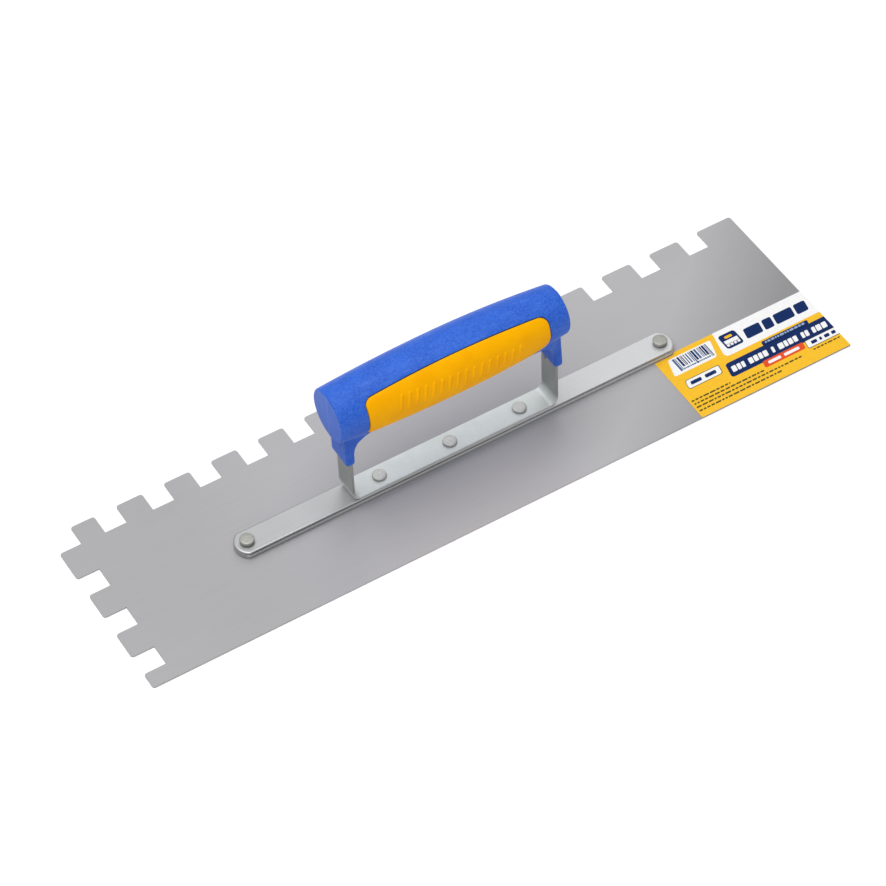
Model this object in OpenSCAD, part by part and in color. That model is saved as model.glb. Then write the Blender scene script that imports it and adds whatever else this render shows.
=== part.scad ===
// Notched trowel for spreading tile adhesive: a thin steel blade with square teeth on one long
// side and one short side, a riveted backing bar, and a closed handle on a U-shaped bracket.
// Millimetres, +Z up. The origin is the centre of the blade's underside.
// The long side runs along X, and the toothed long side faces +Y.

/* [Blade] */
// Length of the blade
blade_l = 400; // [384:1:480]
// Width of the blade over the tips of its teeth
blade_w = 108; // [100:1:140]
// Thickness of the steel sheet
blade_t = 0.8; // [0.5:0.1:1.2]
// Width of one notch
notch_w = 12; // [8:0.5:13]
// Depth of one notch
notch_d = 12; // [8:0.5:14]
// Number of notches in the long side
long_notches = 13; // [6:1:13]
// How many of them, next to the toothed short side, are set closer together
near_notches = 5; // [1:1:6]
// Distance from one of these closer notches to the next
near_pitch = 26.5; // [24:0.1:28]
// Distance from one to the next of the other notches in the long side
far_pitch = 29.5; // [24:0.1:30]
// Distance from one notch to the next along the short side
end_pitch = 28; // [24:0.5:28]
// Number of notches in the short side
end_notches = 3; // [1:1:3]
// Radius of the corners of the tooth tips
tip_r = 1.5; // [0.5:0.1:2.5]

/* [Backing bar] */
// Length of the bar
bar_l = 252; // [246:1:300]
// Width of the bar
bar_w = 14.5; // [14:0.5:20]
// Thickness of the bar
bar_t = 4.2; // [3.6:0.1:6]
// Radius of the bar's rounded ends
bar_end_r = 8.5; // [7.5:0.1:14]
// Height of the groove along each side of the bar
groove_h = 1.2; // [0.4:0.1:2]
// Depth of that groove
groove_d = 0.9; // [0.3:0.1:1.5]
// Shift of the bar along the blade, from its middle
bar_x = -1.5; // [-10:0.5:10]
// Shift of the bar away from the teeth, from the blade's middle
bar_y = -3.7; // [-8:0.1:4]
// Shift of the bracket along the bar, from its middle
handle_x = -4.7; // [-8:0.1:8]

/* [Bracket] */
// Thickness of the bracket's steel strap
strap_t = 1.5; // [1:0.1:2.5]
// Width of the strap
strap_w = 13.5; // [10:0.5:14]
// Distance between the middles of the two legs
leg_gap = 117; // [100:1:120]
// Outer radius of the bend between base and leg
bend_r = 5.5; // [3:0.5:9]
// Height of the tops of the legs, inside the handle
leg_top = 60; // [48:1:62]
// Radius of the locking hole in each leg
lock_r = 1.2; // [0.5:0.1:2]

/* [Rivets] */
// Distance from the bracket's middle rivet to the next one on each side
rivet_inner = 40.5; // [30:0.5:46]
// Distance from the middle of the bar to the outermost rivets
rivet_outer = 119.5; // [100:0.5:120]
// Radius of the shank
shank_r = 2; // [1.5:0.1:2.5]
// Radius of the head
head_r = 3.7; // [3:0.1:4.5]
// Height of the tops of the inner heads
inner_head_top = 8; // [7.4:0.1:9]
// Height of the tops of the outer heads
outer_head_top = 7.4; // [6.2:0.1:9]

/* [Handle] */
// Length of the grip
grip_l = 129; // [128:1:150]
// Radius of the grip at its middle
grip_mid_r = 16.4; // [14:0.1:20]
// Radius of the grip at its left end
grip_left_r = 14.2; // [12:0.1:18]
// Radius of the grip at its right end
grip_right_r = 13; // [12:0.1:18]
// Height of the grip's axis above the blade's underside
grip_z = 66.2; // [62:0.1:90]
// Shift of the grip along the bracket, from its middle
grip_x = -1.4; // [-3:0.1:3]
// Width of the two ferrules that hold the legs
ferrule_w = 16; // [15.5:0.5:20]
// Thickness of a ferrule at its lower end
ferrule_t = 4.8; // [4.6:0.1:8]
// Height of the ferrules' lower ends
ferrule_z = 33.5; // [22:0.5:36]
// Width of the hollow curve between ferrule and grip
fillet_w = 9.6; // [6:0.1:12]
// Height of that hollow curve
fillet_h = 13.6; // [8:0.1:14]

/* [Grip pad] */
// Thickness of the soft pad
pad_t = 2; // [1:0.1:3]
// How far the pad stands out of the grip
pad_proud = 0.3; // [0:0.1:1]
// Length of the pad
pad_l = 102; // [90:0.5:110]
// Shift of the pad along the grip, from its middle
pad_x = 1.3; // [-4:0.1:4]
// Angle of the pad's upper edge above the level of the grip's axis, at its middle
pad_up = 57; // [45:1:70]
// How much smaller that angle would be at the grip's ends
pad_droop = 12; // [0:1:16]
// Angle of the pad's lower edge below the level of the grip's axis
pad_down = 46; // [35:1:60]

/* [Label] */
// Length of the label
label_l = 90; // [40:1:120]
// Width of the label
label_w = 44; // [20:1:50]
// Thickness of the label
label_t = 0.2; // [0.1:0.05:0.4]

/* [Hidden] */

$fn = 64;
cut = 1;                                        // how far a cutter runs past what it cuts
corner_tooth = 13;                              // width of the tooth beside the corner notch
end_start = 30.5;                               // from the toothed long side to the first end notch
bar_z = blade_t;
bar_top = bar_z + bar_t;
strap_top = bar_top + strap_t;
grip_half = grip_l / 2;
edge_r = 1.4;                                   // rounding of the grip's two end faces
profile_steps = 16;                             // straight pieces in each half of the grip's curve
leg_slack = 0.15;                               // gap around a leg inside its socket
lock_y = 3.2;                                   // from the middle of the leg to its locking hole
lock_z = ferrule_z - 2.2;
ferrule_out = leg_gap / 2 + strap_t / 2 + 2.4;  // outer face of a ferrule
hollow_drop = 12.8;                             // from the grip's axis down to the hollow's top
countersink = 1.2;                              // how much wider a rivet's tail is than its shank
strap_rivets = [-rivet_inner, 0, rivet_inner];      // along the bracket, from its middle
rivet_xs = concat([-rivet_outer], [for (x = strap_rivets) handle_x + x], [rivet_outer]);
label_gap = 0.4;                                // gap between the label and the bar

// Radius of the grip at distance x from its middle: a shallow barrel
function grip_r(x) =
    grip_mid_r - (grip_mid_r - (x > 0 ? grip_right_r : grip_left_r)) * pow(x / grip_half, 2);

// Places things in the frame of the bar
module on_bar() {
    translate([bar_x, bar_y, 0])
        children();
}

// Places things in the frame of the bracket
module on_bracket() {
    translate([bar_x + handle_x, bar_y, 0])
        children();
}

// ---- blade ----

// The sharp corner that is ground off a tooth tip whose metal lies to the right of it and below it
module tip_corner() {
    difference() {
        translate([-cut, -tip_r])
            square(tip_r + cut);
        translate([tip_r, -tip_r])
            circle(tip_r);
    }
}

// How far the long side's notch i is from its first one
function notch_place(i) =
    min(i, near_notches - 1) * near_pitch + max(i - near_notches + 1, 0) * far_pitch;

// One notch cut down from a straight edge, with its left side at the origin
module notch() {
    translate([0, -notch_d])
        square([notch_w, notch_d + cut]);
    mirror([1, 0])
        tip_corner();
    translate([notch_w, 0])
        tip_corner();
}

module blade_outline() {
    half_l = blade_l / 2;
    half_w = blade_w / 2;
    difference() {
        square([blade_l, blade_w], center = true);
        for (i = [0 : long_notches - 1])
            translate([-half_l + notch_d + corner_tooth + notch_place(i), half_w])
                notch();
        for (i = [0 : end_notches - 1])
            translate([-half_l, half_w - end_start - notch_w - i * end_pitch])
                rotate(90)
                    notch();
        translate([-half_l - cut, half_w - notch_d])
            square(notch_d + cut);
        translate([-half_l + notch_d, half_w])
            tip_corner();
        translate([-half_l, half_w - notch_d])
            tip_corner();
        translate([half_l, half_w])
            mirror([1, 0])
                tip_corner();
        translate([-half_l, -half_w])
            mirror([0, 1])
                tip_corner();
    }
}

module blade() {
    color("silver")
        difference() {
            linear_extrude(blade_t)
                blade_outline();
            on_bar()
                for (x = rivet_xs)
                    translate([x, 0, 0])
                        cylinder(h = blade_t, r1 = shank_r + countersink, r2 = shank_r);
        }
}

// ---- backing bar ----

// The bar seen from above: straight sides and shallow round ends
module bar_footprint(grow = 0) {
    intersection() {
        square([bar_l + 2 * grow, bar_w + 2 * grow], center = true);
        union() {
            square([bar_l - 2 * bar_end_r, bar_w + 2 * grow], center = true);
            for (side = [-1, 1])
                translate([side * (bar_l / 2 - bar_end_r), 0])
                    circle(bar_end_r + grow);
        }
    }
}

// The bar's section, with a groove in each long side
module bar_section() {
    difference() {
        translate([-bar_w / 2, 0])
            square([bar_w, bar_t]);
        for (side = [-1, 1])
            translate([side * bar_w / 2, bar_t / 2])
                square([2 * groove_d, groove_h], center = true);
    }
}

module backing_bar() {
    color("gainsboro")
        on_bar()
            translate([0, 0, bar_z])
                difference() {
                    intersection() {
                        linear_extrude(bar_t)
                            bar_footprint();
                        translate([-bar_l / 2 - cut, 0, 0])
                            rotate([90, 0, 90])
                                linear_extrude(bar_l + 2 * cut)
                                    bar_section();
                    }
                    for (x = rivet_xs)
                        translate([x, 0, -cut])
                            cylinder(h = bar_t + 2 * cut, r = shank_r);
                }
}

// ---- bracket ----

// A quarter ring that bends the strap from the base up into the right-hand leg
module bend() {
    intersection() {
        difference() {
            circle(bend_r);
            circle(bend_r - strap_t);
        }
        translate([0, -bend_r])
            square(bend_r);
    }
}

// Side view of the bracket: base, bends and legs
module bracket_profile() {
    outer = (leg_gap + strap_t) / 2;
    translate([-outer + bend_r, bar_top])
        square([2 * (outer - bend_r), strap_t]);
    for (side = [0, 1])
        mirror([side, 0]) {
            translate([outer - bend_r, bar_top + bend_r])
                bend();
            translate([outer - strap_t, bar_top + bend_r])
                square([strap_t, leg_top - bar_top - bend_r]);
        }
}

module handle_bracket() {
    color("lightgray")
        on_bracket()
            difference() {
                translate([0, strap_w / 2, 0])
                    rotate([90, 0, 0])
                        linear_extrude(strap_w)
                            bracket_profile();
                for (x = strap_rivets)
                    translate([x, 0, bar_top - cut])
                        cylinder(h = strap_t + 2 * cut, r = shank_r);
                for (side = [-1, 1])
                    translate([side * leg_gap / 2, lock_y, lock_z])
                        rotate([0, 90, 0])
                            cylinder(h = 2 * strap_t, r = lock_r, center = true);
            }
}

// ---- handle ----

// Half section of the grip, standing on its axis; grow moves its surface out or in
module grip_profile(grow = 0) {
    end = grip_half + min(grow, 0);
    curve = [for (i = [-profile_steps : profile_steps])
        let (x = i * (end - edge_r) / profile_steps) [grip_r(x) + grow, x]];
    top_arc = [for (a = [15 : 15 : 90])
        [grip_right_r + grow - edge_r + edge_r * cos(a), end - edge_r + edge_r * sin(a)]];
    low_arc = [for (a = [90 : -15 : 15])
        [grip_left_r + grow - edge_r + edge_r * cos(a), -end + edge_r - edge_r * sin(a)]];
    polygon(concat([[0, -end]], low_arc, curve, top_arc, [[0, end]]));
}

module grip(grow = 0) {
    translate([grip_x, 0, grip_z])
        rotate([0, 90, 0])
            rotate_extrude()
                grip_profile(grow);
}

// Side view of the right-hand ferrule: a tongue that widens through a hollow curve into the grip
module ferrule_profile() {
    inner = ferrule_out - ferrule_t;
    hollow_top = grip_z - hollow_drop;
    difference() {
        translate([inner - fillet_w, ferrule_z])
            square([ferrule_t + fillet_w, grip_z - 4 - ferrule_z]);
        translate([inner - fillet_w, hollow_top - fillet_h])
            scale([1, fillet_h / fillet_w])
                circle(fillet_w);
        translate([inner - 2 * fillet_w, ferrule_z - cut])
            square([2 * fillet_w, hollow_top - fillet_h - ferrule_z + cut]);
    }
}

module leg_socket() {
    translate([leg_gap / 2 - strap_t / 2 - leg_slack, -strap_w / 2 - leg_slack, ferrule_z - cut])
        cube([strap_t + 2 * leg_slack, strap_w + 2 * leg_slack, leg_top + leg_slack - ferrule_z + cut]);
}

module handle_body() {
    color("royalblue")
        on_bracket()
            difference() {
                union() {
                    grip();
                    for (side = [0, 1])
                        mirror([side, 0, 0])
                            translate([0, ferrule_w / 2, 0])
                                rotate([90, 0, 0])
                                    linear_extrude(ferrule_w)
                                        ferrule_profile();
                }
                for (side = [0, 1])
                    mirror([side, 0, 0])
                        leg_socket();
                pad_shell();
            }
}

// ---- grip pad ----

// One rounded corner of the pad's outline, swept from angle a0 to a0 + 90
function corner(x, z, r, a0) = [for (a = [a0 : 15 : a0 + 90]) [x + r * cos(a), z + r * sin(a)]];

// Heights of the pad's upper and lower edges from the grip's axis, at distance x from the middle
function pad_top(x) = grip_r(x) * sin(pad_up - pad_droop * pow(x / grip_half, 2));
function pad_low(x) = -grip_r(x) * sin(pad_down);

// Front view of the pad. Both long edges are bowed, and its lower right corner is wide
module pad_outline() {
    small = 4;
    wide = 12;
    left = pad_x - pad_l / 2;
    right = pad_x + pad_l / 2;
    upper = [for (i = [9 : -1 : 1]) let (x = left + small + i * (pad_l - 2 * small) / 10) [x, pad_top(x)]];
    lower = [for (i = [1 : 8]) let (x = left + small + i * (pad_l - small - wide) / 9) [x, pad_low(x)]];
    translate([grip_x, grip_z])
        polygon(concat(
            corner(left + small, pad_low(left) + small, small, 180),
            lower,
            corner(right - wide, pad_low(right) + wide, wide, 270),
            corner(right - small, pad_top(right) - small, small, 0),
            upper,
            corner(left + small, pad_top(left) - small, small, 90)));
}

// The pad: a curved sheet let into the front of the grip
module pad_shell() {
    intersection() {
        difference() {
            grip(pad_proud);
            grip(pad_proud - pad_t);
        }
        rotate([90, 0, 0])
            linear_extrude(grip_mid_r + pad_t)
                pad_outline();
    }
}

module grip_pad() {
    color("orange")
        on_bracket()
            pad_shell();
}

// ---- label ----

// A sticker in the plain corner of the blade, cut clear of the bar's end
module label() {
    color("gold")
        translate([0, 0, blade_t])
            linear_extrude(label_t)
                difference() {
                    translate([blade_l / 2 - label_l, -blade_w / 2])
                        square([label_l, label_w]);
                    translate([bar_x, bar_y])
                        bar_footprint(label_gap);
                }
}

// ---- rivets ----

// Half section of a rivet: flush tail in the blade, shank, and a flat head with a rounded edge
module rivet_profile(seat, top, round_r) {
    polygon(concat(
        [[0, 0], [shank_r + countersink, 0], [shank_r, blade_t], [shank_r, seat], [head_r, seat]],
        [for (a = [0 : 15 : 90]) [head_r - round_r + round_r * cos(a), top - round_r + round_r * sin(a)]],
        [[0, top]]));
}

module rivet(i) {
    outermost = i == 0 || i == len(rivet_xs) - 1;
    color("darkgray")
        on_bar()
            translate([rivet_xs[i], 0, 0])
                rotate_extrude()
                    if (outermost)
                        rivet_profile(bar_top, outer_head_top, 0.4);
                    else
                        rivet_profile(strap_top, inner_head_top, 0.8);
}

blade();
backing_bar();
handle_bracket();
handle_body();
grip_pad();
label();
for (i = [0 : len(rivet_xs) - 1])
    rivet(i);
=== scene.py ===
import math

import bmesh
import bpy
import numpy as np
from mathutils import Matrix, Vector


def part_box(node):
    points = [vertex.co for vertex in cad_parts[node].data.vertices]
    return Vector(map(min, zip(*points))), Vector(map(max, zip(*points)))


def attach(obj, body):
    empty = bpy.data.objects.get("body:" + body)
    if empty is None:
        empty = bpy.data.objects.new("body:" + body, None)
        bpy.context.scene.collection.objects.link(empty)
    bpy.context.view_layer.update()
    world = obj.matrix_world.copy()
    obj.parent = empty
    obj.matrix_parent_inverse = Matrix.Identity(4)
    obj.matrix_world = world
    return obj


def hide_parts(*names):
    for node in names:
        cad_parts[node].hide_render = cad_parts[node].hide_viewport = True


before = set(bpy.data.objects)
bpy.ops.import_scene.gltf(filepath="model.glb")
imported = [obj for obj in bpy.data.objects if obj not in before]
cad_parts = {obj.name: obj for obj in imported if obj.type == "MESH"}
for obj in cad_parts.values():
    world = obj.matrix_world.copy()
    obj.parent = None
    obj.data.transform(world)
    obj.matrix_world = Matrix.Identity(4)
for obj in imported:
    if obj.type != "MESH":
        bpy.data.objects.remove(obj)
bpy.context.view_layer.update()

MM = 0.001
BODY = "root"


# ---------------------------------------------------------------- places taken from the frame

def box_mm(node):
    """A node's lowest and highest corner in millimetres."""
    lo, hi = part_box(node)
    return np.array(lo) / MM, np.array(hi) / MM


BAR_LO, BAR_HI = box_mm("backing_bar")
STRAP_LO, STRAP_HI = box_mm("handle_bracket")
GRIP_LO, GRIP_HI = box_mm("handle_body")
PAD_LO, PAD_HI = box_mm("grip_pad")
LABEL_LO, LABEL_HI = box_mm("label")

MID_X = (STRAP_LO[0] + STRAP_HI[0]) / 2      # middle of the bracket, along the blade
MID_Y = (BAR_LO[1] + BAR_HI[1]) / 2          # middle of the bar and the handle, across the blade
LEG_OUT = (STRAP_HI[0] - STRAP_LO[0]) / 2    # outer face of a leg, from the bracket's middle
LEG_W = STRAP_HI[1] - STRAP_LO[1]
LEG_T = 1.5
LEG_TOP = STRAP_HI[2]
STRAP_TOP = STRAP_LO[2] + LEG_T              # top of the strap's base
GRIP_X = (GRIP_LO[0] + GRIP_HI[0]) / 2 - MID_X
GRIP_HALF = (GRIP_HI[0] - GRIP_LO[0]) / 2
GRIP_R = 16.4                                # radius of the grip at its middle
GRIP_LEFT_R = 14.2                           # and at its ends
GRIP_RIGHT_R = 13.0
GRIP_Z = GRIP_HI[2] - GRIP_R
FERRULE_Z = GRIP_LO[2]
FERRULE_W = 16.0
FERRULE_T = 4.8
FERRULE_OUT = LEG_OUT + 2.4
LEG_SLACK = 0.15                             # between a leg and its socket
MOULD_STEP, MOULD_SOFT = 0.06, 0.35          # half the height and the half width of the mould line's step
HOLLOW_W, HOLLOW_H = 9.6, 13.6               # hollow curve between ferrule and grip
HOLLOW_TOP = GRIP_Z - 12.8
PAD_X = (PAD_LO[0] + PAD_HI[0]) / 2 - MID_X
PAD_HALF = (PAD_HI[0] - PAD_LO[0]) / 2
PAD_T = 2.0
PAD_RISE, PAD_CROWN = 0.3, 0.35              # the pad stands this far proud, and bulges this much more
PAD_UP, PAD_DROOP, PAD_DOWN = np.radians((57, 12, 46))   # the pad's edges, from the grip's level
PAD_LOW_LEFT_R, PAD_LOW_RIGHT_R = 2.5, 12.0  # radii of the pad's corners
PAD_TOP_LEFT_R, PAD_TOP_RIGHT_R = 4.0, 5.0
RIB_COUNT, RIB_PITCH = 16, 4.4
RIB_FIRST_X, RIB_FIRST_UP = -34, 4.8         # the first rib's middle, from the pad's middle
RIB_SINK, RIB_SLANT = 0.26, 0.28             # each rib's drop from the last one, and its lean
RIB_HALF_L, RIB_R, RIB_H = 3.4, 0.65, 0.55   # half its length without the round ends, half its width, height

BAR_X = (BAR_LO[0] + BAR_HI[0]) / 2
BAR_HALF = (BAR_HI[0] - BAR_LO[0]) / 2
BAR_W = BAR_HI[1] - BAR_LO[1]
BAR_END_R = 8.5
BAR_EDGE_R = 0.6
RIVET_HOLE_R = 2.1
GROOVE_DROP, GROOVE_H, GROOVE_D = 1.8, 0.9, 1.3          # its middle below the bar's top, height, depth
RIVETS = [f"rivet_{i}" for i in range(1, 6)]


# ---------------------------------------------------------------- colours and node helpers

def srgb(r, g, b):
    """A colour seen on a screen, 0 to 255, as a linear RGBA colour."""
    def lin(v):
        v /= 255
        return v / 12.92 if v <= 0.04045 else ((v + 0.055) / 1.055) ** 2.4
    return (lin(r), lin(g), lin(b), 1.0)


class Nodes:
    """A new material's node tree, with one call for each kind of node that the materials use."""

    def __init__(self, name, **shader):
        self.material = bpy.data.materials.new(name)
        self.material.use_nodes = True
        self.tree = self.material.node_tree
        self.shader = self.tree.nodes["Principled BSDF"]
        for socket, value in shader.items():
            self.shader.inputs[socket.replace("_", " ")].default_value = value
        self.place = self.new("ShaderNodeTexCoord").outputs["Object"]

    def new(self, kind, **props):
        node = self.tree.nodes.new(kind)
        for name, value in props.items():
            setattr(node, name, value)
        return node

    def link(self, out, socket):
        self.tree.links.new(out, socket)

    def scaled(self, scale):
        """Object coordinates in metres, stretched by scale (x, y, z)."""
        node = self.new("ShaderNodeMapping")
        node.inputs["Scale"].default_value = scale
        self.link(self.place, node.inputs["Vector"])
        return node.outputs["Vector"]

    def noise(self, scale, detail=3.0, roughness=0.5, stretch=(1, 1, 1)):
        node = self.new("ShaderNodeTexNoise")
        node.inputs["Scale"].default_value = scale
        node.inputs["Detail"].default_value = detail
        node.inputs["Roughness"].default_value = roughness
        self.link(self.scaled(stretch), node.inputs["Vector"])
        return node.outputs["Fac"]

    def across(self, direction, low, high):
        """Rises from 0 to 1 along a direction, between two distances in metres from the object's origin."""
        dot = self.new("ShaderNodeVectorMath", operation="DOT_PRODUCT")
        dot.inputs[1].default_value = direction
        self.link(self.place, dot.inputs[0])
        node = self.new("ShaderNodeMapRange")
        node.inputs["From Min"].default_value = low
        node.inputs["From Max"].default_value = high
        self.link(dot.outputs["Value"], node.inputs["Value"])
        return node.outputs["Result"]

    def ramp(self, value, *stops):
        """Maps a value to colours or greys at the given stops, each (position, colour or grey)."""
        node = self.new("ShaderNodeValToRGB")
        ramp = node.color_ramp
        while len(ramp.elements) < len(stops):
            ramp.elements.new(0.5)
        for element, (position, colour) in zip(ramp.elements, stops):
            element.position = position
            element.color = colour if isinstance(colour, tuple) else (colour, colour, colour, 1)
        self.link(value, node.inputs["Fac"])
        return node.outputs["Color"]

    def between(self, value, low, high):
        """A value from 0 to 1 mapped to the range low to high."""
        node = self.new("ShaderNodeMapRange")
        node.inputs["To Min"].default_value = low
        node.inputs["To Max"].default_value = high
        self.link(value, node.inputs["Value"])
        return node.outputs["Result"]

    def math(self, operation, a, b):
        node = self.new("ShaderNodeMath", operation=operation)
        for socket, value in zip(node.inputs, (a, b)):
            if isinstance(value, (int, float)):
                socket.default_value = value
            else:
                self.link(value, socket)
        return node.outputs["Value"]

    def mix(self, factor, a, b, blend="MIX"):
        node = self.new("ShaderNodeMix", data_type="RGBA", blend_type=blend)
        colours = [s for s in node.inputs if s.type == "RGBA"]
        if isinstance(factor, (int, float)):
            node.inputs[0].default_value = factor
        else:
            self.link(factor, node.inputs[0])
        for socket, value in zip(colours, (a, b)):
            if isinstance(value, tuple):
                socket.default_value = value
            else:
                self.link(value, socket)
        return [s for s in node.outputs if s.type == "RGBA"][0]

    def bump(self, height, strength, distance):
        node = self.new("ShaderNodeBump")
        node.inputs["Strength"].default_value = strength
        node.inputs["Distance"].default_value = distance
        self.link(height, node.inputs["Height"])
        self.link(node.outputs["Normal"], self.shader.inputs["Normal"])

    def colour(self, out):
        self.link(out, self.shader.inputs["Base Color"])

    def rough(self, out):
        self.link(out, self.shader.inputs["Roughness"])


# ---------------------------------------------------------------- materials

def rolled_steel():
    """Cold-rolled sheet: fine grain along the blade, faint cloudy patches and a few scratches.

    It is painted darker at its left end and front right corner, to stand in for uneven light."""
    m = Nodes("rolled_steel", Metallic=0.5)
    grain = m.noise(60, 4, 0.6, stretch=(0.5, 30, 1))
    cloud = m.noise(9, 3, 0.5, stretch=(1, 1.6, 1))
    tone = m.mix(0.4, m.ramp(grain, (0.25, srgb(172, 171, 173)), (0.75, srgb(181, 180, 182))),
                 m.ramp(cloud, (0.3, srgb(171, 170, 173)), (0.7, srgb(182, 181, 183))))
    scratch = m.ramp(m.noise(35, 2, 0.5, stretch=(1.2, 46, 1)), (0.70, 0.0), (0.76, 0.16))
    tone = m.mix(scratch, tone, srgb(196, 196, 198))
    dark_corner = m.ramp(m.across((1, -1.2, 0), 0.12, 0.2), (0.0, 1.0), (1.0, 0.64))
    dark_end = m.ramp(m.across((-1, 0, 0), 0.04, 0.14), (0.0, 1.0), (1.0, 0.855))
    shade = m.mix(1.0, dark_corner, dark_end, blend="MULTIPLY")
    m.colour(m.mix(1.0, tone, shade, blend="MULTIPLY"))
    m.rough(m.math("ADD", m.between(grain, 0.54, 0.6), m.between(cloud, -0.02, 0.03)))
    m.bump(grain, 0.1, 0.00004)
    return m.material


def mill_aluminium():
    """Extruded bar: bright, with fine die lines along its length.

    It is painted darker towards its left end, to stand in for uneven light."""
    m = Nodes("mill_aluminium", Metallic=0.9)
    lines = m.noise(90, 3, 0.6, stretch=(0.25, 30, 30))
    cloud = m.noise(40, 3)
    tone = m.mix(0.4, m.ramp(lines, (0.3, srgb(212, 213, 214)), (0.7, srgb(223, 224, 225))),
                 m.ramp(cloud, (0.3, srgb(211, 213, 214)), (0.7, srgb(224, 225, 226))))
    shade = m.ramp(m.across((1, 0, 0), -0.12, 0.12), (0.0, 0.65), (1.0, 0.92))
    m.colour(m.mix(1.0, tone, shade, blend="MULTIPLY"))
    m.rough(m.between(lines, 0.4, 0.5))
    m.bump(lines, 0.06, 0.00004)
    return m.material


def zinc_plate():
    """Zinc plating on the strap: smooth, slightly cloudy, with a cool tint.

    It is painted darker up the legs, to stand in for uneven light."""
    m = Nodes("zinc_plate", Metallic=0.75)
    cloud = m.noise(120, 4, 0.6)
    tone = m.ramp(cloud, (0.3, srgb(226, 231, 227)), (0.7, srgb(236, 240, 236)))
    shade = m.ramp(m.across((0, 0, 1), 0.0068, 0.0125), (0.0, 1.0), (1.0, 0.46))
    m.colour(m.mix(1.0, tone, shade, blend="MULTIPLY"))
    m.rough(m.between(cloud, 0.5, 0.6))
    m.bump(m.noise(900, 2), 0.08, 0.00003)
    return m.material


def rivet_metal(name, tone, seat):
    """Matt rivet heads, a little warmer than the bar, dulled by oxide, with painted shade darkening them
    down their sides.
    """
    m = Nodes(name, Metallic=0.6)
    spots = m.noise(520, 4, 0.6)
    face = m.ramp(spots, (0.3, srgb(tone, tone, tone - 6)), (0.7, srgb(tone + 22, tone + 22, tone + 16)))
    low, high = (seat + 0.4) * MM, (seat + 1.3) * MM
    # painted shade: the head's colour darkens from its top down towards its seat
    side = m.ramp(m.across((0, 0, 1), low, high), (0.0, 0.35), (1.0, 1.0))
    m.colour(m.mix(1.0, face, side, blend="MULTIPLY"))
    m.rough(m.between(spots, 0.42, 0.58))
    m.bump(m.noise(800, 3), 0.3, 0.0001)
    return m.material


def blue_plastic():
    """Moulded polypropylene: fine mottled texture that scatters the light, faint pale rubs."""
    m = Nodes("blue_plastic", Specular_IOR_Level=0.22, Sheen_Weight=0.12, Sheen_Roughness=0.35)
    pits = m.noise(900, 3, 0.65)
    patches = m.noise(60, 4, 0.6)
    rubs = m.noise(260, 4, 0.7, stretch=(0.4, 1.5, 1.5))
    base = m.ramp(patches, (0.3, srgb(22, 76, 182)), (0.7, srgb(36, 92, 200)))
    base = m.mix(m.ramp(pits, (0.35, 0.0), (0.7, 0.6)), base, srgb(66, 118, 216))
    m.colour(m.mix(m.ramp(rubs, (0.52, 0.0), (0.75, 0.3)), base, srgb(90, 132, 220)))
    m.rough(m.between(pits, 0.4, 0.58))
    m.bump(pits, 0.35, 0.00012)
    return m.material


def orange_rubber():
    """Soft-touch pad: satin, with a slight mottle."""
    m = Nodes("orange_rubber", Specular_IOR_Level=0.05)
    mottle = m.noise(110, 3)
    m.colour(m.ramp(mottle, (0.3, srgb(240, 166, 0)), (0.7, srgb(247, 176, 0))))
    m.rough(m.between(m.noise(900, 2), 0.36, 0.46))
    m.bump(m.noise(1300, 2), 0.06, 0.00004)
    return m.material


def label_film(name, colour):
    """Printed film: an even ink with a very slight mottle under a satin varnish."""
    m = Nodes(name, Specular_IOR_Level=0.12)
    ink = m.noise(700, 2)
    dark, light = (tuple(k * c for c in colour[:3]) + (1.0,) for k in (0.80, 0.86))
    m.colour(m.ramp(ink, (0.3, dark), (0.7, light)))
    m.rough(m.between(m.noise(60, 3), 0.38, 0.5))
    m.bump(m.noise(300, 2), 0.05, 0.00003)
    return m.material


def floor_paper():
    """The pale studio sweep."""
    m = Nodes("floor_paper", Roughness=0.9, Specular_IOR_Level=0.1)
    m.colour(m.ramp(m.noise(3, 2), (0.3, srgb(248, 248, 249)), (0.7, srgb(252, 252, 253))))
    return m.material


# ---------------------------------------------------------------- mesh helpers

def new_object(name, verts_mm, faces, materials, smooth=True):
    """An object from points in millimetres and faces."""
    mesh = bpy.data.meshes.new(name)
    mesh.from_pydata((np.asarray(verts_mm, float) * MM).tolist(), [], [list(map(int, f)) for f in faces])
    mesh.validate()
    obj = bpy.data.objects.new(name, mesh)
    bpy.context.scene.collection.objects.link(obj)
    for material in materials:
        mesh.materials.append(material)
    bm = bmesh.new()
    bm.from_mesh(mesh)
    bmesh.ops.recalc_face_normals(bm, faces=bm.faces)
    bm.to_mesh(mesh)
    bm.free()
    mesh.polygons.foreach_set("use_smooth", [smooth] * len(mesh.polygons))
    return obj


def add_piece(obj, slot, *nodes):
    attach(obj, BODY)
    if nodes:
        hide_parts(*nodes)
    return obj


def keep_node(node, material, edge):
    """A CAD node that stays as it is: a new material, and sharp edges softened by edge millimetres."""
    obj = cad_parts[node]
    for slot in obj.material_slots:
        slot.material = material
    weld = obj.modifiers.new("weld", "WELD")
    weld.merge_threshold = 0.002 * MM
    flat = obj.modifiers.new("flat", "DECIMATE")
    flat.decimate_type = "DISSOLVE"
    flat.angle_limit = math.radians(0.5)
    bevel = obj.modifiers.new("soft_edges", "BEVEL")
    bevel.limit_method = "ANGLE"
    bevel.angle_limit = math.radians(35)
    bevel.width = edge * MM
    bevel.segments = 2
    bevel.use_clamp_overlap = False
    obj.modifiers.new("normals", "WEIGHTED_NORMAL")


def smooth_max(a, b, k):
    """The larger of two fields, rounded over where they are within k of each other."""
    h = np.maximum(k - np.abs(a - b), 0) / k
    return np.maximum(a, b) + h * h * k / 4


def smooth_min(a, b, k):
    return -smooth_max(-a, -b, k)


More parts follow.
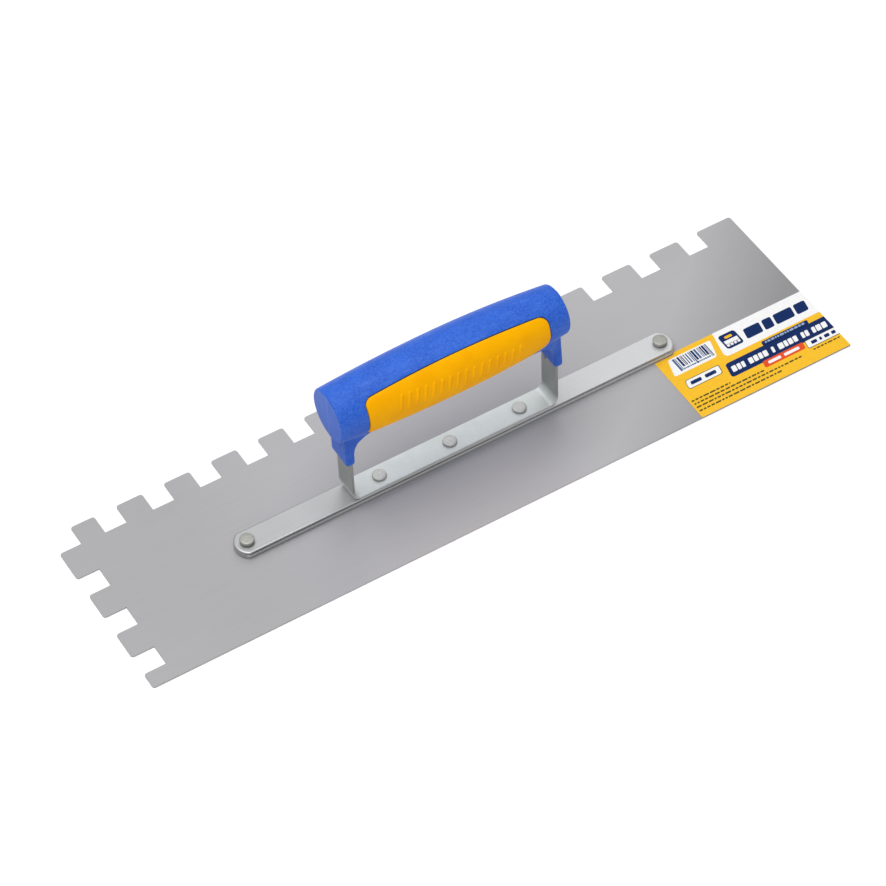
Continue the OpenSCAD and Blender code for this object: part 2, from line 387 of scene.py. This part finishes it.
def rounded_pair(a, b, r):
    """Where two half-spaces meet, with their shared edge rounded to radius r."""
    a, b = a + r, b + r
    return np.minimum(np.maximum(a, b), 0) + np.hypot(np.maximum(a, 0), np.maximum(b, 0)) - r


def surface(field, low, high, step, rounds=6):
    """Points and quads of the surface where field(x, y, z) is 0, in a box cut into cells of size step.

    One point per cell that the surface crosses, drawn onto the surface along the field's slope."""
    step = np.ones(3) * step
    axes = [np.arange(a, b + s, s) for a, b, s in zip(low, high, step)]
    values = field(*np.meshgrid(*axes, indexing="ij"))
    inside = values < 0
    shape = np.array(values.shape) - 1
    corners = [(i, j, k) for i in (0, 1) for j in (0, 1) for k in (0, 1)]
    count = sum(inside[i:i + shape[0], j:j + shape[1], k:k + shape[2]].astype(np.int8)
                for i, j, k in corners)
    cells = np.argwhere((count > 0) & (count < 8))
    index = -np.ones(shape, dtype=np.int64)
    index[tuple(cells.T)] = np.arange(len(cells))
    points = np.array(low) + (cells + 0.5) * step
    nudge = step.min() * 0.05
    for _ in range(rounds):
        here = field(*points.T)
        slope = np.stack([(field(*(points + nudge * e).T) - field(*(points - nudge * e).T)) / (2 * nudge)
                          for e in np.eye(3)], 1)
        move = here[:, None] * slope / np.maximum((slope ** 2).sum(1, keepdims=True), 0.05)
        points = points - np.clip(move, -step / 2, step / 2)
    quads = []
    for axis in range(3):
        u, v = (axis + 1) % 3, (axis + 2) % 3
        first = [slice(None)] * 3
        second = [slice(None)] * 3
        first[axis], second[axis] = slice(0, -1), slice(1, None)
        crossed = inside[tuple(first)] != inside[tuple(second)]
        at = np.argwhere(crossed)
        at = at[(at[:, u] > 0) & (at[:, v] > 0) & (at[:, u] < shape[u]) & (at[:, v] < shape[v])]
        ring = []
        for du, dv in ((-1, -1), (0, -1), (0, 0), (-1, 0)):
            cell = at.copy()
            cell[:, u] += du
            cell[:, v] += dv
            ring.append(index[tuple(cell.T)])
        quads.append(np.stack(ring, 1))
    return points, np.concatenate(quads)


# ---------------------------------------------------------------- the handle, as fields in millimetres
# x and y are from the bracket's middle, z is from the blade's underside. Inside is negative.

def grip_radius(x):
    """Radius of the barrel at x: widest in the middle, with a different radius at each end."""
    end = np.where(x > GRIP_X, GRIP_RIGHT_R, GRIP_LEFT_R)
    return GRIP_R - (GRIP_R - end) * ((x - GRIP_X) / GRIP_HALF) ** 2


def mould_step(y):
    """How far an end face stands out, from one side of the mould line to the other."""
    return MOULD_STEP * np.tanh(-y / MOULD_SOFT)


def grip_field(x, y, z):
    """The barrel-shaped grip. A faint mould line crosses its end faces, one half 0.12 mm lower."""
    side = np.hypot(y, z - GRIP_Z) - grip_radius(x)
    end = np.abs(x - GRIP_X) - GRIP_HALF + MOULD_STEP - mould_step(y)
    return rounded_pair(side, end, 1.2)


def ferrule_field(x, y, z):
    """Both ferrules: a tongue round the leg that widens through a hollow into the grip.

    The tongue also spreads forwards and backwards where it runs into the grip."""
    top = GRIP_Z - GRIP_R
    rise = np.clip((z - FERRULE_Z) / (top - FERRULE_Z), 0, 1.3)
    taper = np.where(x > 0, 0.8, 0.0) * rise
    x = np.abs(x)
    hollow = rounded_pair(x - FERRULE_OUT + FERRULE_T, (z - HOLLOW_TOP) * HOLLOW_W / HOLLOW_H, HOLLOW_W)
    outside = x - FERRULE_OUT + taper + MOULD_STEP - mould_step(y)
    outline = smooth_max(outside, -hollow, 0.8)
    outline = smooth_max(outline, FERRULE_Z - z, 1.2)
    outline = np.maximum(outline, z - GRIP_Z)
    spread = 1.6 * rise ** 2 * np.clip((FERRULE_OUT - 1 - x) / 7, 0, 1)
    return smooth_max(outline, np.abs(y) - FERRULE_W / 2 - spread, 1.6)


def socket_field(x, y, z):
    """The slots that hold the legs, a little larger than the legs."""
    across = np.abs(np.abs(x) - LEG_OUT + LEG_T / 2) - LEG_T / 2 - LEG_SLACK
    along = np.abs(y) - LEG_W / 2 - LEG_SLACK
    return np.maximum(np.maximum(across, along), z - LEG_TOP - LEG_SLACK)


def around(y, z):
    """Angle round the grip, from straight to the front, positive upwards."""
    return np.arctan2(z - GRIP_Z, -y)


def pad_outline(x, y, z):
    """Distance from the pad's outline, measured along the grip's skin."""
    radius = grip_radius(x)
    across = around(y, z) * radius
    top = (PAD_UP - PAD_DROOP * ((x - GRIP_X) / GRIP_HALF) ** 2) * radius
    low = -PAD_DOWN * radius
    right, above = x - PAD_X, across - (top + low) / 2
    right_r = np.where(above < 0, PAD_LOW_RIGHT_R, PAD_TOP_RIGHT_R)
    left_r = np.where(above < 0, PAD_LOW_LEFT_R, PAD_TOP_LEFT_R)
    corner = np.where(right > 0, right_r, left_r)
    return rounded_pair(np.abs(right) - PAD_HALF, np.abs(above) - (top - low) / 2, corner)


def rib_field(x, y, z):
    """Distance from a row of short slanted ribs moulded into the pad."""
    across = around(y, z) * grip_radius(x)
    nearest = np.full(np.shape(x), 99.0)
    for i in range(RIB_COUNT):
        up = across - RIB_FIRST_UP + RIB_SINK * i
        right = x - PAD_X - RIB_FIRST_X - RIB_PITCH * i - RIB_SLANT * up
        past_end = np.maximum(np.abs(up) - RIB_HALF_L, 0)
        nearest = np.minimum(nearest, np.hypot(right, past_end) - RIB_R)
    return nearest


def pad_field(x, y, z):
    """The pad: a curved sheet with a soft rim and a slight crown, with the ribs standing on it."""
    edge = pad_outline(x, y, z)
    crown = PAD_RISE + PAD_CROWN * np.clip(-edge / 7, 0, 1) ** 0.6
    ribs = RIB_H / (1 + np.exp(np.clip(rib_field(x, y, z) / 0.09, -30, 30)))
    rho = np.hypot(y, z - GRIP_Z)
    radius = grip_radius(x)
    sheet = smooth_max(rho - radius - crown - ribs, radius - PAD_T - rho, 0.3)
    return smooth_max(sheet, edge, 1.3)


def body_field(x, y, z):
    """The blue moulding: grip and ferrules in one, with the sockets and the recess for the pad."""
    solid = smooth_min(grip_field(x, y, z), ferrule_field(x, y, z), 1.4)
    rho = np.hypot(y, z - GRIP_Z)
    recess = np.maximum(grip_radius(x) - PAD_T - 0.3 - rho, pad_outline(x, y, z) - 0.25)
    solid = smooth_max(solid, -recess, 0.4)
    return smooth_max(solid, -socket_field(x, y, z), 0.2)


def in_place(points):
    return points + np.array([MID_X, MID_Y, 0])


def make_handle_body(material):
    margin = 1.5
    low = (GRIP_X - GRIP_HALF - margin, -GRIP_R - margin, FERRULE_Z - margin)
    high = (GRIP_X + GRIP_HALF + margin, GRIP_R + margin, GRIP_HI[2] + margin)
    points, quads = surface(body_field, low, high, 0.5)
    obj = new_object("handle_moulding", in_place(points), quads, [material])
    return add_piece(obj, "grip_plastic", "handle_body")


def make_pad(material):
    low = (PAD_X - PAD_HALF - 1, -GRIP_R - 2, GRIP_Z - GRIP_R - 1)
    high = (PAD_X + PAD_HALF + 1, 0, GRIP_Z + GRIP_R + 1)
    points, quads = surface(pad_field, low, high, 0.28)
    obj = new_object("soft_pad", in_place(points), quads, [material])
    return add_piece(obj, "pad_rubber", "grip_pad")


# ---------------------------------------------------------------- backing bar

def bar_field(x, y, z):
    """The bar, in place: shallow round ends, softened edges, grooves along its sides, rivet holes."""
    along, across = np.abs(x - BAR_X) - BAR_HALF + BAR_END_R, y - MID_Y
    side = np.abs(across) - BAR_W / 2
    plan = np.where(along > 0, np.maximum(side, np.hypot(along, across) - BAR_END_R), side)
    middle, half = (BAR_HI[2] + BAR_LO[2]) / 2, (BAR_HI[2] - BAR_LO[2]) / 2
    solid = rounded_pair(plan, np.abs(z - middle) - half, BAR_EDGE_R)
    groove_z = BAR_HI[2] - GROOVE_DROP
    groove = np.maximum(-side - GROOVE_D, np.abs(z - groove_z) - GROOVE_H / 2)
    solid = smooth_max(solid, -groove, 1.1)
    for node in RIVETS:
        lo, hi = box_mm(node)
        hole = np.hypot(x - (lo[0] + hi[0]) / 2, across) - RIVET_HOLE_R
        solid = np.maximum(solid, -hole)
    return solid


def make_bar(material):
    points, quads = surface(bar_field, BAR_LO - 1, BAR_HI + 1, (0.7, 0.28, 0.28))
    return add_piece(new_object("grooved_bar", points, quads, [material]), "bar_aluminium", "backing_bar")


# ---------------------------------------------------------------- rivets

TAIL = [(3.2, 0.0), (2.0, 0.8)]              # flush in the blade's underside: radius, height


def flat_head(seat, top):
    """An outer head: a short cylinder, spread a little at its top."""
    return [(2.0, seat), (3.4, seat), (3.55, seat + 0.15), (3.6, seat + 0.9), (3.72, top - 0.55),
            (3.72, top - 0.3), (3.55, top - 0.08), (3.3, top), (1.6, top + 0.03), (0.5, top + 0.03)]


def low_head(seat, top):
    """An inner head: lower, with a well rounded edge."""
    return [(2.0, seat), (3.4, seat), (3.65, seat + 0.2), (3.7, seat + 0.5), (3.62, top - 0.5),
            (3.35, top - 0.2), (2.9, top - 0.05), (2.2, top), (0.6, top + 0.02)]


def lathe(name, profile, middle, rng, material):
    """A rivet turned from its profile.

    A hammered head is never quite round or level, so its rings are bent by a few hundredths."""
    count = 64
    turn = np.linspace(0, 2 * math.pi, count, endpoint=False)
    phase = rng.uniform(0, 2 * math.pi, 3)
    tilt = rng.uniform(0.04, 0.12)
    seat = profile[2][1]
    verts = []
    for r, z in profile:
        loose = 1.0 if z > seat + 0.2 else 0.0
        wobble = 1 + loose * (0.012 * np.sin(2 * turn + phase[0]) + 0.008 * np.sin(3 * turn + phase[1]))
        lift = loose * tilt * r / 3.7 * np.sin(turn + phase[2])
        verts += [(middle[0] + r * w * math.cos(t), middle[1] + r * w * math.sin(t), z + h)
                  for t, w, h in zip(turn, wobble, lift)]
    rings = len(profile)
    faces = [(i * count + j, i * count + (j + 1) % count, (i + 1) * count + (j + 1) % count,
              (i + 1) * count + j) for i in range(rings - 1) for j in range(count)]
    faces += [tuple(range(count)), tuple((rings - 1) * count + j for j in range(count))]
    obj = new_object(name, verts, faces, [material])
    obj.data.set_sharp_from_angle(angle=math.radians(50))
    return obj


def make_rivets():
    """The inner three are brighter than the two outer ones, which get a darker copy of the rivet metal as
    painted shade.
    """
    rng = np.random.default_rng(5)
    bright = rivet_metal("rivet_metal", 208, STRAP_TOP)
    # painted shade: a darker copy of the same rivet metal for the two outer heads
    shaded_copy = rivet_metal("shaded_rivet_metal", 154, BAR_HI[2])
    for i, node in enumerate(RIVETS):
        lo, hi = box_mm(node)
        middle = (lo[:2] + hi[:2]) / 2
        outer = i in (0, 4)
        head = flat_head(BAR_HI[2], hi[2]) if outer else low_head(STRAP_TOP, hi[2])
        obj = lathe(f"rivet_head_{i + 1}", TAIL + head, middle, rng, shaded_copy if outer else bright)
        add_piece(obj, "rivet_metal", node)


# ---------------------------------------------------------------- the label's print

INKS = {
    "ink_white": srgb(252, 252, 252),
    "ink_navy": srgb(2, 40, 98),
    "ink_slate": srgb(70, 104, 150),
    "ink_pale": srgb(150, 174, 206),
    "ink_red": srgb(236, 84, 36),
    "ink_yellow": srgb(255, 196, 40),
    "ink_olive": srgb(92, 84, 36),
}
INK_T = 0.02                                 # thickness of one layer of print
LEAN = 0.2                                   # how far the printed shapes lean, per unit of height


class Print:
    """Collects thin plates. u is from the label's inner end, v from its front edge, in millimetres."""

    def __init__(self):
        self.verts = []
        self.faces = []
        self.inks = []

    def plate(self, outline, ink, layer):
        """A closed plate one layer thick, on top of the layer below."""
        n = len(outline)
        start = len(self.verts)
        for z in ((layer - 1) * INK_T, layer * INK_T):
            self.verts += [(LABEL_LO[0] + u, LABEL_LO[1] + v, LABEL_HI[2] + z) for u, v in outline]
        faces = [tuple(range(start, start + n)), tuple(range(start + n, start + 2 * n))]
        faces += [(start + i, start + (i + 1) % n, start + n + (i + 1) % n, start + n + i)
                  for i in range(n)]
        self.faces += faces
        self.inks += [list(INKS).index(ink)] * len(faces)

    def block(self, u0, v0, u1, v1, ink, layer, r=0.0, lean=LEAN, corners=(1, 1, 1, 1), flush=False):
        """A leaning rectangle with corners of radius r where corners says so, from lower left round.

        A flush one has an upright right edge, where the label is cut off."""
        r = max(min(r, (u1 - u0) * 0.45), 0.01)
        places = ((u0, v0, 180), (u1, v0, 270), (u1, v1, 0), (u0, v1, 90))
        outline = []
        for (u, v, turn), on in zip(places, corners):
            size = r if on else 0.01
            slope = 0 if flush and u == u1 else lean
            cu = u + size if u == u0 else u - size
            cv = v + size if v == v0 else v - size
            for a in np.radians(np.linspace(turn, turn + 90, 6 if on and r > 0.1 else 2)):
                pu, pv = cu + size * math.cos(a), cv + size * math.sin(a)
                outline.append((pu + slope * (pv - v0), pv))
        self.plate(outline, ink, layer)

    def tiles(self, u0, u1, v0, v1, ink, layer, rng):
        """A run of upright tiles of varied width, side by side."""
        gap = 0.55
        count = max(round((u1 - u0 + gap) / (0.62 * (v1 - v0) + gap)), 1)
        widths = rng.uniform(0.7, 1.3, count)
        widths *= (u1 - u0 - gap * (count - 1)) / widths.sum()
        for width in widths:
            self.block(u0, v0, u0 + width, v1, ink, layer, 0.5)
            u0 += width + gap

    def words(self, u0, u1, v, height, ink, layer, rng, long=5.0, lean=LEAN):
        """A line of plain dashes of varied length where a line of print would be."""
        u = u0
        while u < u1 - 0.4:
            end = min(u + rng.uniform(0.35, 1.0) * long, u1)
            self.block(u, v - height / 2, end, v + height / 2, ink, layer, height * 0.3, lean)
            u = end + 0.17 * long

    def finish(self):
        materials = [label_film(name, colour) for name, colour in INKS.items()]
        obj = new_object("label_print", self.verts, self.faces, materials, smooth=False)
        obj.data.polygons.foreach_set("material_index", self.inks)
        return add_piece(obj, "label_film")


def print_name_panel(page, end):
    """White panel in the rear corner: a trowel pictogram and a row of plain blocks."""
    page.block(32.2, 27, end, 44, "ink_white", 1, 3.0, corners=(1, 0, 0, 0), flush=True)
    page.block(36.4, 30.6, 46.4, 40.6, "ink_navy", 2, 1.6, lean=0)
    page.block(37.4, 33.6, 45.4, 36.2, "ink_white", 3, 0.2, lean=0)
    for i in range(4):
        page.block(37.4 + i * 2.1, 32.1, 38.9 + i * 2.1, 33.9, "ink_white", 3, 0.1, lean=0)
    page.block(39.2, 37.3, 43.6, 38.9, "ink_yellow", 3, 0.7, lean=0)
    for u0, u1 in ((48.8, 58.6), (60.0, 65.6), (67.0, 78.2), (79.6, 86.6)):
        page.block(u0, 31.2, u1, 38.0, "ink_navy", 2, 1.1)


def print_bands(page, end, rng):
    """Two navy bands with pale dashes, a red pill and a white pill below them."""
    page.block(52.6, 23.0, 80.8, 25.9, "ink_navy", 1, 0.7)
    page.words(54.6, 79.6, 24.6, 1.3, "ink_pale", 2, rng, long=2.6)
    page.block(27.4, 13.8, end, 23.2, "ink_navy", 1, 1.6, corners=(1, 0, 0, 1), flush=True)
    for u0, u1 in ((30.0, 37.8), (40.2, 51.6), (54.2, 55.8), (58.2, 69.8), (72.4, 76.8), (79.0, 87.8)):
        page.tiles(u0, u1, 16.4, 20.2, "ink_white", 2, rng)
    page.block(45.2, 10.1, 69.8, 14.5, "ink_red", 2, 0.9)
    for u0, u1 in ((48.2, 55.8), (57.8, 67.0)):
        page.block(u0, 11.4, u1, 13.2, "ink_white", 3, 0.6)
    page.block(70.7, 8.9, end, 14.3, "ink_olive", 2, 1.0, corners=(1, 0, 0, 0), flush=True)
    page.block(71.1, 9.3, end, 14.0, "ink_white", 3, 0.8, corners=(1, 0, 0, 0), flush=True)
    for u0, u1 in ((74.0, 77.4), (79.0, 80.4), (82.0, 85.0), (86.4, 88.8)):
        page.block(u0, 10.6, u1, 12.7, "ink_navy", 4, 0.5)
    page.words(72.4, 89.0, 7.3, 0.9, "ink_olive", 1, rng, long=3.2)


def print_barcode(page, rng):
    """White panel with bars of random width, and the small pill below it."""
    page.block(3.5, 29.8, 29.1, 41.0, "ink_white", 1, 1.2, lean=0.28)
    u = 8.4
    while u < 28.2:
        width = rng.choice((0.4, 0.55, 0.8, 1.2))
        ink = rng.choice(("ink_navy", "ink_navy", "ink_slate"))
        guard = u < 10.2 or 17.8 < u < 19.2 or u > 27.0
        page.block(u, 31.2 if guard else 33.2, u + width, 40.2, ink, 2, lean=0)
        u += width + rng.choice((0.35, 0.5, 0.75))
    page.words(10.6, 26.8, 31.9, 1.0, "ink_slate", 2, rng, long=1.3, lean=0)
    page.block(4.8, 18.8, 25.4, 24.9, "ink_olive", 1, 1.4)
    page.block(5.2, 19.2, 25.0, 24.5, "ink_white", 2, 1.1)
    for u0, u1 in ((7.6, 14.0), (16.2, 22.8)):
        page.block(u0, 20.7, u1, 23.0, "ink_navy", 3, 0.6)


def make_label(sheet_material):
    rng = np.random.default_rng(11)
    length = LABEL_HI[0] - LABEL_LO[0]
    keep_node("label", sheet_material, 0.03)
    page = Print()
    print_name_panel(page, length)
    print_bands(page, length, rng)
    print_barcode(page, rng)
    for v, u0, u1 in ((11.5, 1.2, 24.5), (9.2, 1.3, 43.6), (6.8, 1.1, 64.6), (4.2, 1.1, 50.8)):
        page.words(u0, u1, v, 1.0, "ink_olive", 1, rng, long=3.4)
    return page.finish()


# ---------------------------------------------------------------- stage, lights and camera

AZIMUTH, ELEVATION, ROLL = -29.272, 49.113, -2.735   # degrees
DISTANCE = 1.735                                     # from the aim point, in metres
AIM_RIGHT, AIM_UP = -0.00694, -0.00124               # of the aim point, in the view's plane
VIEW_WIDTH = 0.4392                                  # width of the view at the aim point, in metres
SENSOR = 36
FLOOR_HALF, FLOOR_Z = 6000, -0.05                    # millimetres
SKY = 0.46                                           # strength of the even light from all round


def make_camera():
    a, e, r = (math.radians(v) for v in (AZIMUTH, ELEVATION, ROLL))
    back = Vector((math.sin(a) * math.cos(e), -math.cos(a) * math.cos(e), math.sin(e)))
    right = Vector((0, 0, 1)).cross(back).normalized()
    up = back.cross(right)
    right, up = math.cos(r) * right + math.sin(r) * up, math.cos(r) * up - math.sin(r) * right
    data = bpy.data.cameras.new("camera")
    data.sensor_width = SENSOR
    data.lens = SENSOR * DISTANCE / VIEW_WIDTH
    data.clip_end = 20
    camera = bpy.data.objects.new("camera", data)
    bpy.context.scene.collection.objects.link(camera)
    where = back * DISTANCE + right * AIM_RIGHT + up * AIM_UP
    camera.matrix_world = Matrix.Translation(where) @ Matrix((right, up, back)).transposed().to_4x4()
    bpy.context.scene.camera = camera


def soft_light(name, where, aim, size, power):
    """A round area light, with its place and size in metres and its power in watts."""
    data = bpy.data.lights.new(name, "AREA")
    data.shape = "DISK"
    data.size = size
    data.energy = power
    light = bpy.data.objects.new(name, data)
    bpy.context.scene.collection.objects.link(light)
    light.location = where
    light.rotation_euler = (Vector(aim) - Vector(where)).to_track_quat("-Z", "Y").to_euler()


def make_stage():
    half, z = FLOOR_HALF, FLOOR_Z
    corners = [(-half, -half, z), (half, -half, z), (half, half, z), (-half, half, z)]
    new_object("floor", corners, [(0, 1, 2, 3)], [floor_paper()])
    world = bpy.data.worlds.new("studio")
    world.use_nodes = True
    world.node_tree.nodes["Background"].inputs["Color"].default_value = (1, 1, 1, 1)
    world.node_tree.nodes["Background"].inputs["Strength"].default_value = SKY
    bpy.context.scene.world = world
    soft_light("key", (-0.4, 0.0, 1.9), (0, 0, 0), 2.0, 33)
    soft_light("back", (0.9, 1.2, 1.6), (0, 0, 0), 1.5, 3.5)


# ---------------------------------------------------------------- build

def main():
    bpy.context.scene.view_settings.view_transform = "Standard"
    make_camera()
    make_stage()
    keep_node("blade", rolled_steel(), 0.12)
    make_bar(mill_aluminium())
    keep_node("handle_bracket", zinc_plate(), 0.3)
    make_rivets()
    make_handle_body(blue_plastic())
    make_pad(orange_rubber())
    make_label(label_film("label_yellow", srgb(255, 198, 45)))


main()
